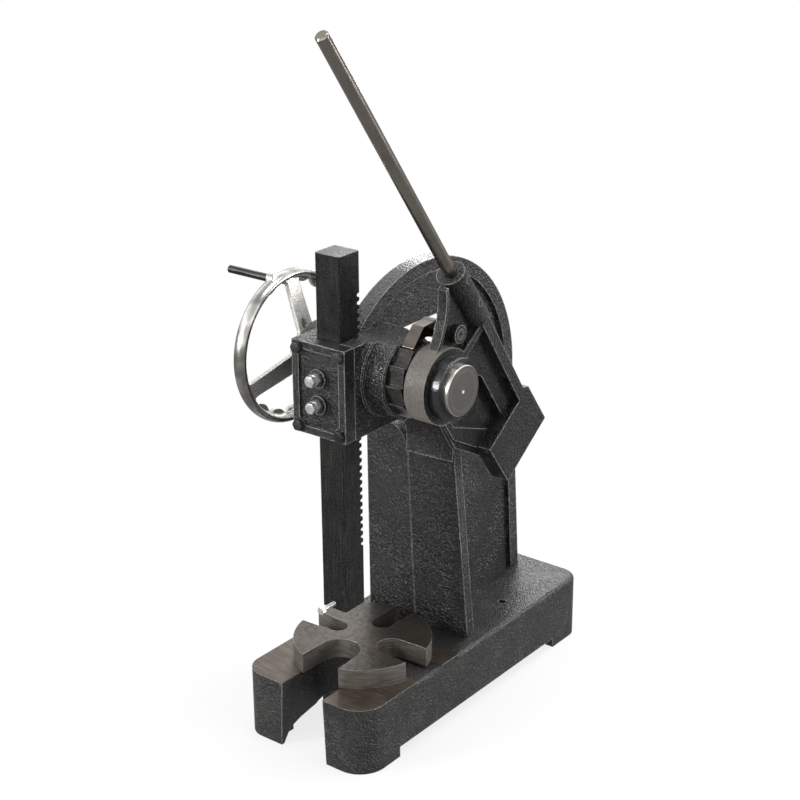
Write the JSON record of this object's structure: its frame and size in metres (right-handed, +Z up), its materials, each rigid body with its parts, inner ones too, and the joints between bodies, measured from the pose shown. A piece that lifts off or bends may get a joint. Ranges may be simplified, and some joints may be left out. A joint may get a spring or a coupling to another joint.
{
  "type": "ratchet arbor press",
  "caption": "Ratchet arbor press: square rack ram in a cast C-frame, driven by a pinion shaft with a handwheel and a counterweighted ratchet lever, above a slotted turning table plate.",
  "frame": {"origin": "on the bench plane, straight below the ram's axis", "axes": "+Z up along the ram, -Y out of the front of the press, +X along the pinion shaft towards the ratchet lever"},
  "size_m": [0.3445, 0.5729, 0.9397],
  "materials": {
    "cast_black": "black paint over rough cast iron",
    "lever_paint": "brown-black paint over rough cast iron",
    "steel_black": "blackened steel",
    "ram_steel": "dark ground steel",
    "ground_steel": "machined, slightly browned",
    "turned_steel": "turned steel",
    "bar_steel": "drawn bar",
    "plain_steel": "plain steel",
    "zinc_plate": "bright zinc",
    "wheel_chrome": "polished",
    "bronze": "bearing bronze"
  },
  "bodies": {
    "frame": {"base_casting": "cast_black", "column_casting": "cast_black", "front_cover": "steel_black", "cover_screws": "steel_black", "gib_plate": "bronze", "gib_washers": "steel_black", "gib_bolts": "zinc_plate", "gib_lock_nuts": "zinc_plate", "left_bush": "bronze", "table_pivot_pin": "plain_steel"},
    "ram": {"ram": "ram_steel", "ram_tool_bolt": "zinc_plate"},
    "shaft": {"pinion_shaft": "turned_steel", "ratchet_wheel": "steel_black", "ratchet_key": "plain_steel", "shaft_collar": "steel_black", "collar_set_screw": "steel_black", "handwheel": "wheel_chrome", "handwheel_handle": "plain_steel", "handwheel_key": "plain_steel", "handwheel_set_screw": "steel_black"},
    "lever": {"lever_casting": "lever_paint", "lever_bar": "bar_steel", "bar_set_screws": "steel_black", "pawl_pin": "plain_steel", "pawl_spring": "zinc_plate"},
    "pawl": {"pawl": "plain_steel"},
    "table": {"table_plate": "ground_steel"}
  },
  "joints": [
    {"name": "shaft_spin", "type": "hinge", "parent": "frame", "child": "shaft", "pos_m": [0, 0.03868, 0.496], "axis": [1, 0, 0], "range_deg": [-570, 150]},
    {"name": "ram_slide", "type": "slide", "parent": "frame", "child": "ram", "axis": [0, 0, 1], "range_m": [-0.05819, 0.22111]},
    {"name": "lever_swing", "type": "hinge", "parent": "frame", "child": "lever", "pos_m": [0.12, 0.03868, 0.496], "axis": [1, 0, 0], "range_deg": [-30, 90]},
    {"name": "pawl_lift", "type": "hinge", "parent": "lever", "child": "pawl", "pos_m": [0.0895, 0.06482, 0.55442], "axis": [1, 0, 0], "range_deg": [-25, 5]},
    {"name": "table_turn", "type": "hinge", "parent": "frame", "child": "table", "pos_m": [0, 0.036, 0.105], "axis": [0, 0, 1], "continuous": true}
  ],
  "couplings": [
    {"joint": "ram_slide", "follows": "shaft_spin", "m_per_rad": -0.022225}
  ]
}
